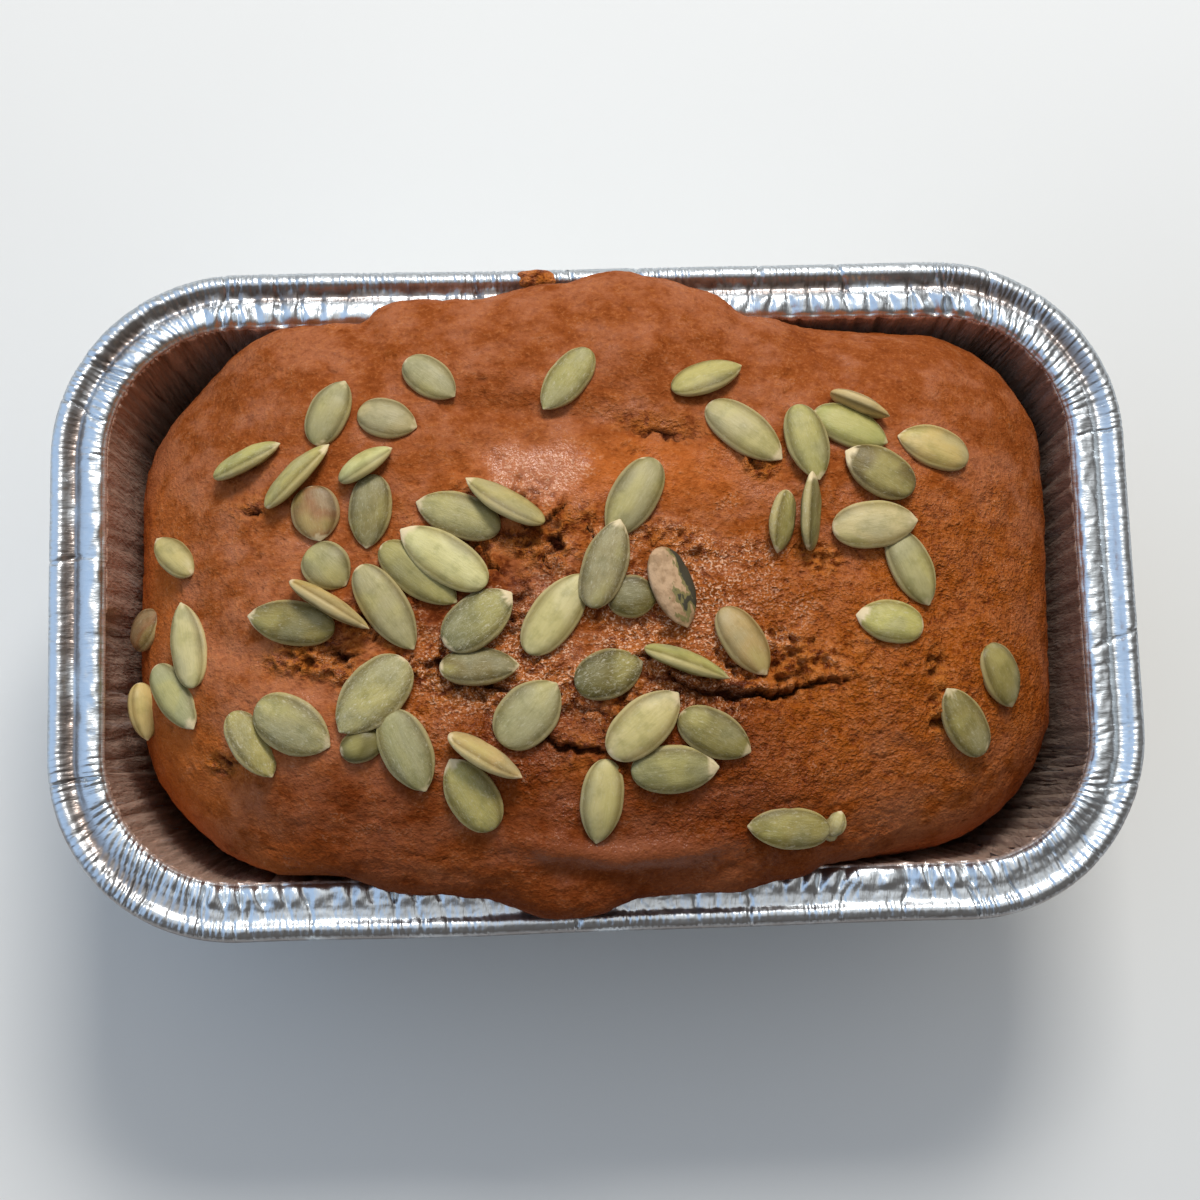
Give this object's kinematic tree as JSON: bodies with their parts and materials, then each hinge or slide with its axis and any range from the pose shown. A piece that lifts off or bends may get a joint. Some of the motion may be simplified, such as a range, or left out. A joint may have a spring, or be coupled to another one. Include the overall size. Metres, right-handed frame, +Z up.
{
  "type": "pumpkin bread loaf in a foil pan",
  "caption": "Domed mini loaf of pumpkin bread with a cracked, seed-topped crust that has risen out over the rim of its own small foil loaf pan.",
  "frame": {"origin": "middle of the pan's base, on the surface that it stands on", "axes": "+Z up, +X along the loaf's length, -Y towards the near long side"},
  "size_m": [0.1556, 0.0956, 0.0693],
  "materials": {
    "crust": "baked orange-brown crumb crust, pitted, with a thin moist shine, strewn with dull green seeds",
    "foil": "bright thin aluminium foil, crimped and wrinkled"
  },
  "bodies": {
    "root": {"loaf": "crust", "foil_pan": "foil"}
  },
  "joints": []
}
